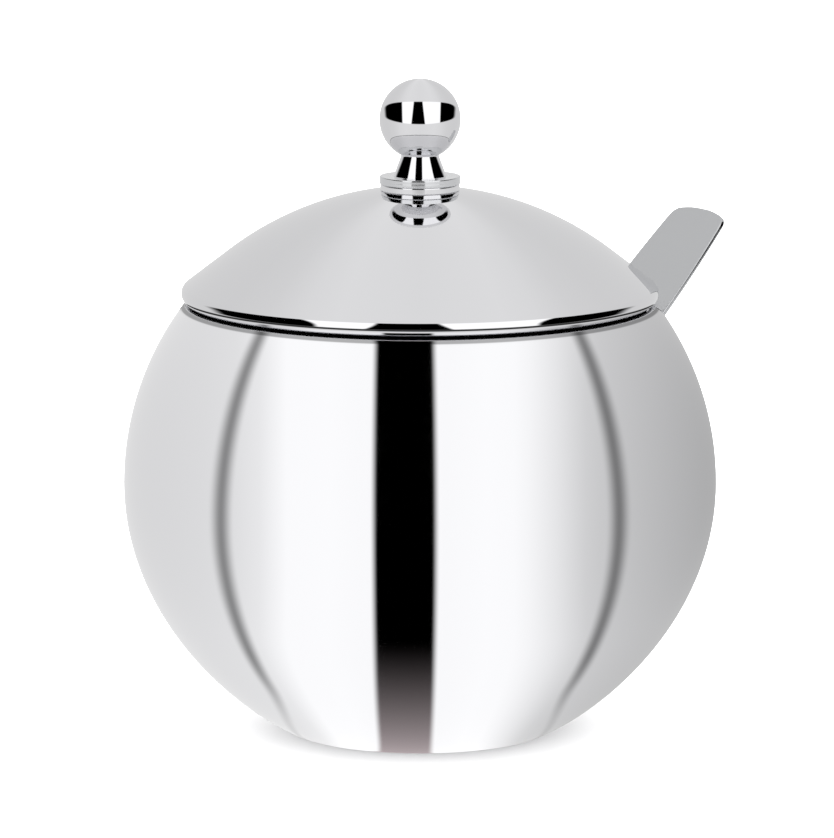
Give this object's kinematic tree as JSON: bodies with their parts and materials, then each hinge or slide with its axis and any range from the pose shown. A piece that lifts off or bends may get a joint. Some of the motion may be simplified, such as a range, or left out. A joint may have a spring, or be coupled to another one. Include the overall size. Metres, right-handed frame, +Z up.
{
  "type": "sugar bowl",
  "caption": "Ball-shaped steel sugar bowl with a domed lift-off lid, a ball knob and a spoon that leans in a rim notch.",
  "frame": {"origin": "centre of the flat base, on the surface that the bowl stands on", "axes": "+Z up, +X through the notch in the rim where the spoon's handle leans"},
  "size_m": [0.0966, 0.09, 0.0996],
  "materials": {
    "mirror_steel": "mirror-polished stainless steel",
    "turned_steel": "fine turned lines",
    "satin_steel": "satin",
    "spoon_steel": "polished with a soft haze"
  },
  "bodies": {
    "bowl": {"bowl_body": "mirror_steel"},
    "lid": {"lid_dome": "mirror_steel", "lid_collar": "satin_steel", "knob_washer": "mirror_steel", "knob_disc": "turned_steel", "knob_cone": "mirror_steel", "knob_ball": "mirror_steel", "inner_washer": "satin_steel", "knob_screw": "satin_steel"},
    "spoon": {"spoon": "spoon_steel"}
  },
  "joints": [
    {"name": "lid_lift", "type": "slide", "parent": "bowl", "child": "lid", "axis": [0, 0, 1], "range_m": [0, 0.05]},
    {"name": "spoon_draw", "type": "slide", "parent": "bowl", "child": "spoon", "axis": [0.6687, 0, 0.7435], "range_m": [0, 0.035]}
  ]
}
